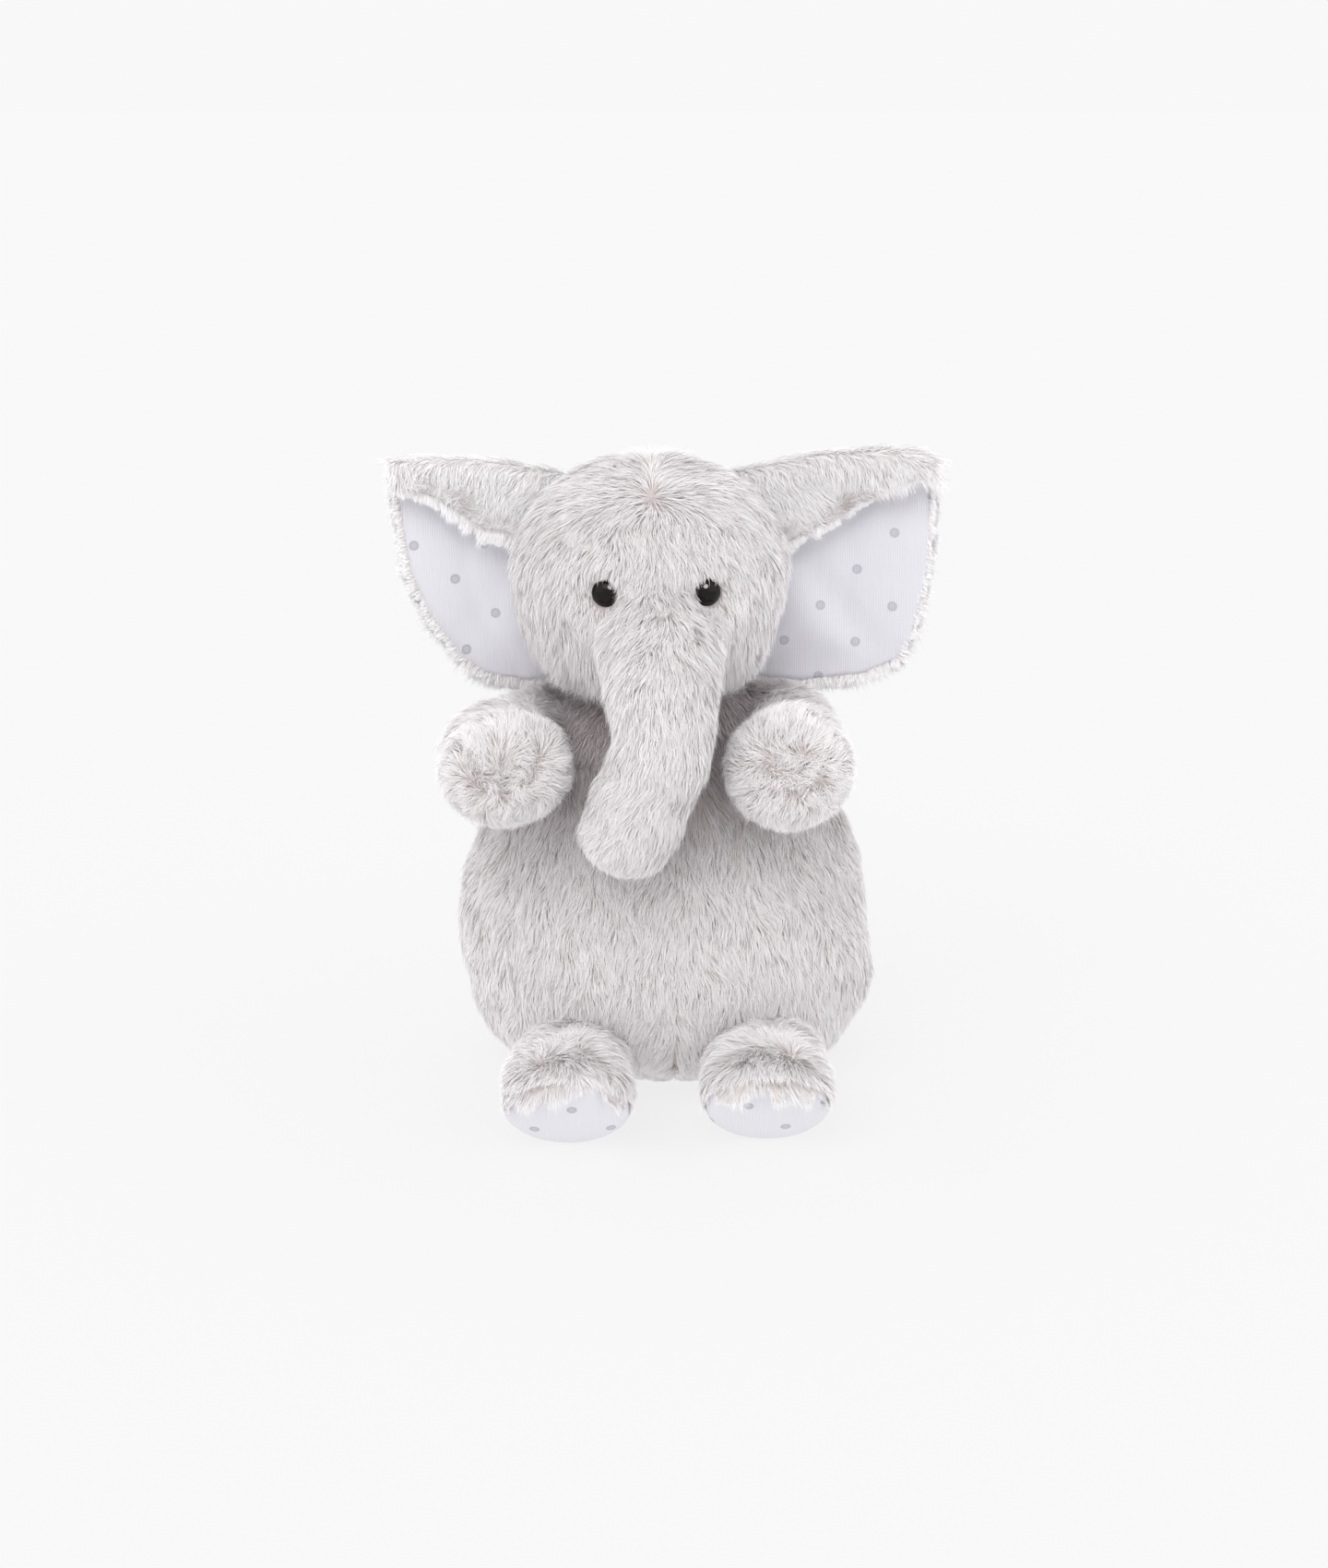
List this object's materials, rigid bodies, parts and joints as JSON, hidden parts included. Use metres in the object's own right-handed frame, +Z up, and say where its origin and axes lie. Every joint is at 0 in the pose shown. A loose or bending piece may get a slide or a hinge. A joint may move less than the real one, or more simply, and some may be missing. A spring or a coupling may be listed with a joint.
{
  "type": "stuffed elephant",
  "caption": "Sitting plush elephant with dotted ear linings and soles, raised arms, and a stuffed trunk hanging over its chest.",
  "frame": {"origin": "centre of the underside of the flat base panel that the toy sits on", "axes": "+Z up, -Y the way the face points, +X to the right of someone facing the toy"},
  "size_m": [0.1875, 0.1577, 0.2289],
  "materials": {
    "plush": "matte",
    "jersey": "matte",
    "filling": "matte",
    "pellets": "matte",
    "eye": "gloss",
    "washer": "satin"
  },
  "bodies": {
    "torso": {"torso_front_left": "plush", "torso_front_right": "plush", "torso_back": "plush", "torso_base": "plush", "torso_filling": "filling", "pellet_pouch": "pellets"},
    "head": {"head_left": "plush", "head_right": "plush", "head_filling": "filling", "eye_left": "eye", "eye_right": "eye", "eye_washer_left": "washer", "eye_washer_right": "washer"},
    "trunk": {"trunk_front": "plush", "trunk_underside": "plush", "trunk_filling": "filling"},
    "ear_left": {"ear_left_back": "plush", "ear_left_lining": "jersey"},
    "ear_right": {"ear_right_back": "plush", "ear_right_lining": "jersey"},
    "arm_left": {"arm_left_outer": "plush", "arm_left_inner": "plush", "arm_left_filling": "filling"},
    "arm_right": {"arm_right_outer": "plush", "arm_right_inner": "plush", "arm_right_filling": "filling"},
    "foot_left": {"foot_left_upper": "plush", "foot_left_sole": "jersey", "foot_left_filling": "filling"},
    "foot_right": {"foot_right_upper": "plush", "foot_right_sole": "jersey", "foot_right_filling": "filling"}
  },
  "joints": [
    {"name": "head_nod", "type": "hinge", "parent": "torso", "child": "head", "pos_m": [-0.002, 0.002, 0.134], "axis": [-1, 0, 0], "range_deg": [-10, 12], "stiffness_Nm_per_rad": 1.2},
    {"name": "trunk_lift", "type": "hinge", "parent": "head", "child": "trunk", "pos_m": [-0.0015, -0.0535, 0.187], "axis": [-1, 0, 0], "range_deg": [0, 55], "stiffness_Nm_per_rad": 0.12},
    {"name": "ear_left_flap", "type": "hinge", "parent": "head", "child": "ear_left", "pos_m": [-0.0565, 0.002, 0.183], "axis": [0, 0, 1], "range_deg": [-20, 20], "stiffness_Nm_per_rad": 0.08},
    {"name": "ear_right_flap", "type": "hinge", "parent": "head", "child": "ear_right", "pos_m": [0.0465, 0.002, 0.183], "axis": [0, 0, -1], "range_deg": [-20, 20], "stiffness_Nm_per_rad": 0.08},
    {"name": "arm_left_swing", "type": "hinge", "parent": "torso", "child": "arm_left", "pos_m": [-0.0412, 0.0008, 0.1291], "axis": [-1, 0, 0], "range_deg": [-4, 14], "stiffness_Nm_per_rad": 0.25},
    {"name": "arm_right_swing", "type": "hinge", "parent": "torso", "child": "arm_right", "pos_m": [0.0395, 0.0005, 0.13], "axis": [-1, 0, 0], "range_deg": [-4, 14], "stiffness_Nm_per_rad": 0.25},
    {"name": "leg_left_swing", "type": "hinge", "parent": "torso", "child": "foot_left", "pos_m": [-0.033, -0.057, 0.042], "axis": [-1, 0, 0], "range_deg": [0, 30], "stiffness_Nm_per_rad": 0.15},
    {"name": "leg_right_swing", "type": "hinge", "parent": "torso", "child": "foot_right", "pos_m": [0.0355, -0.057, 0.042], "axis": [-1, 0, 0], "range_deg": [0, 30], "stiffness_Nm_per_rad": 0.15}
  ]
}
